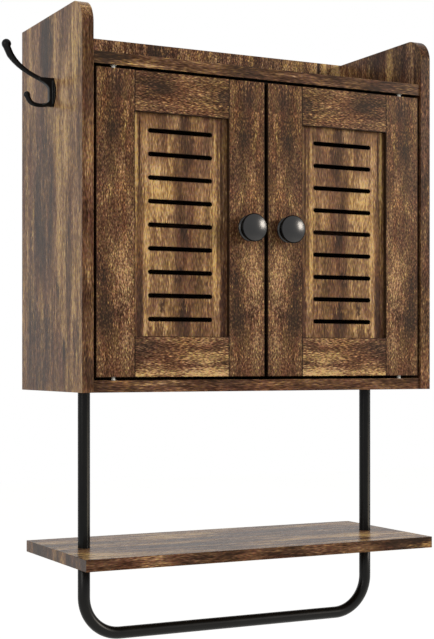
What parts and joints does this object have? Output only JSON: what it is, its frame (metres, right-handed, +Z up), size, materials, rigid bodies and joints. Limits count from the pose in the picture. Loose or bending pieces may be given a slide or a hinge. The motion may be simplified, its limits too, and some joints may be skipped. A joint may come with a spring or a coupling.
{
  "type": "hanging wall cabinet",
  "caption": "Rustic wall cabinet with slotted pivot doors, a raised open top, a lower shelf on a black tube frame with a towel bar, and a coat hook.",
  "frame": {"origin": "centre of the back rail's rear face, where the cabinet meets the wall", "axes": "+Z up, +Y into the wall, the doors face -Y, +X to the right seen from the front"},
  "size_m": [0.5839, 0.2426, 0.809],
  "materials": {
    "rustic_board": "satin rustic brown laminate with streaked grain",
    "golden_panel": "satin laminate, more golden than the frame",
    "hardboard": "thin printed hardboard",
    "black_tube": "satin black powder coat",
    "black_iron": "black painted casting",
    "dark_metal": "satin dark grey",
    "zinc_steel": "bright zinc plate",
    "white_nylon": "white nylon",
    "brown_plastic": "dark brown plastic"
  },
  "bodies": {
    "cabinet": {"top_board": "rustic_board", "bottom_board": "rustic_board", "back_rail": "rustic_board", "inner_shelf": "rustic_board", "lower_shelf": "rustic_board", "back_panel": "hardboard", "magnetic_catch": "brown_plastic", "coat_hook": "black_iron", "towel_bar": "black_tube", "hook_screw_front": "black_iron", "hook_screw_rear": "black_iron", "left_side_panel": "rustic_board", "left_upper_tube": "black_tube", "left_frame_bolt": "zinc_steel", "left_hanging_plate": "zinc_steel", "left_hanging_screw_outer": "zinc_steel", "left_hanging_screw_inner": "zinc_steel", "left_shelf_pin_front": "zinc_steel", "left_shelf_pin_rear": "zinc_steel", "left_top_cam": "zinc_steel", "left_bottom_cam": "zinc_steel", "left_bottom_cam_bolt": "zinc_steel", "left_top_cam_bolt": "zinc_steel", "left_top_bush": "white_nylon", "left_bottom_bush": "white_nylon", "right_side_panel": "rustic_board", "right_upper_tube": "black_tube", "right_frame_bolt": "zinc_steel", "right_hanging_plate": "zinc_steel", "right_hanging_screw_outer": "zinc_steel", "right_hanging_screw_inner": "zinc_steel", "right_shelf_pin_front": "zinc_steel", "right_shelf_pin_rear": "zinc_steel", "right_top_cam": "zinc_steel", "right_bottom_cam": "zinc_steel", "right_bottom_cam_bolt": "zinc_steel", "right_top_cam_bolt": "zinc_steel", "right_top_bush": "white_nylon", "right_bottom_bush": "white_nylon"},
    "left_door": {"left_knob_screw": "zinc_steel", "left_strike_plate": "zinc_steel", "left_door_top_pivot": "white_nylon", "left_door_bottom_pivot": "white_nylon", "left_door_outer_stile": "rustic_board", "left_door_inner_stile": "rustic_board", "left_door_top_rail": "rustic_board", "left_door_bottom_rail": "rustic_board", "left_door_panel": "golden_panel", "left_knob": "dark_metal"},
    "right_door": {"right_knob_screw": "zinc_steel", "right_strike_plate": "zinc_steel", "right_door_top_pivot": "white_nylon", "right_door_bottom_pivot": "white_nylon", "right_door_outer_stile": "rustic_board", "right_door_inner_stile": "rustic_board", "right_door_top_rail": "rustic_board", "right_door_bottom_rail": "rustic_board", "right_door_panel": "golden_panel", "right_knob": "dark_metal"}
  },
  "joints": [
    {"name": "left_door_hinge", "type": "hinge", "parent": "cabinet", "child": "left_door", "pos_m": [-0.2125, -0.2105, -0.242], "axis": [0, 0, -1], "range_deg": [0, 120]},
    {"name": "right_door_hinge", "type": "hinge", "parent": "cabinet", "child": "right_door", "pos_m": [0.2125, -0.2105, -0.242], "axis": [0, 0, 1], "range_deg": [0, 120]}
  ]
}
